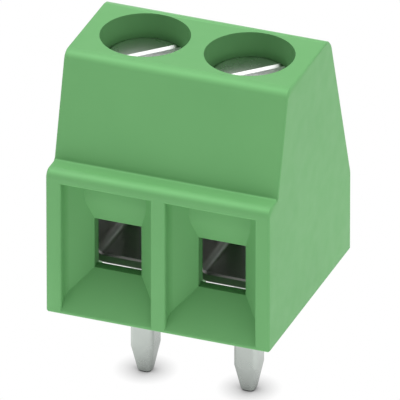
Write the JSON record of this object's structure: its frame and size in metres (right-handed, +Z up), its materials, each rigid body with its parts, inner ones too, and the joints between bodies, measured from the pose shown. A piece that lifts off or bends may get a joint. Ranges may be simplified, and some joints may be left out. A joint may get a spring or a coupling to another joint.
{
  "type": "pcb screw terminal",
  "caption": "Low wire-to-board screw terminal block: each slotted screw lifts a cage that clamps the wire under a contact bar, whose pin is soldered into the board.",
  "frame": {"origin": "on the board plane, at the middle of the row of pins", "axes": "+X along the row of poles, -Y out of the wire entries, +Z up from the board through the screws"},
  "size_m": [0.0074, 0.0072, 0.012],
  "materials": {
    "housing": "satin moulded polyamide",
    "contact": "tin-plated copper alloy",
    "cage": "nickel-plated, smooth",
    "screw": "zinc-plated, turned"
  },
  "bodies": {
    "block": {"housing": "housing", "contact_1": "contact", "contact_2": "contact"},
    "screw_1": {"screw_1": "screw"},
    "cage_1": {"clamp_cage_1": "cage"},
    "screw_2": {"screw_2": "screw"},
    "cage_2": {"clamp_cage_2": "cage"}
  },
  "joints": [
    {"name": "screw_1_turn", "type": "hinge", "parent": "block", "child": "screw_1", "pos_m": [-0.00175, 0, 0.007], "axis": [0, 0, -1], "range_deg": [0, 1350]},
    {"name": "cage_1_lift", "type": "slide", "parent": "block", "child": "cage_1", "axis": [0, 0, 1], "range_m": [0, 0.0015]},
    {"name": "screw_2_turn", "type": "hinge", "parent": "block", "child": "screw_2", "pos_m": [0.00175, 0, 0.007], "axis": [0, 0, -1], "range_deg": [0, 1350]},
    {"name": "cage_2_lift", "type": "slide", "parent": "block", "child": "cage_2", "axis": [0, 0, 1], "range_m": [0, 0.0015]}
  ],
  "couplings": [
    {"joint": "screw_1_turn", "follows": "cage_1_lift", "rad_per_m": 15708},
    {"joint": "screw_2_turn", "follows": "cage_2_lift", "rad_per_m": 15708}
  ]
}
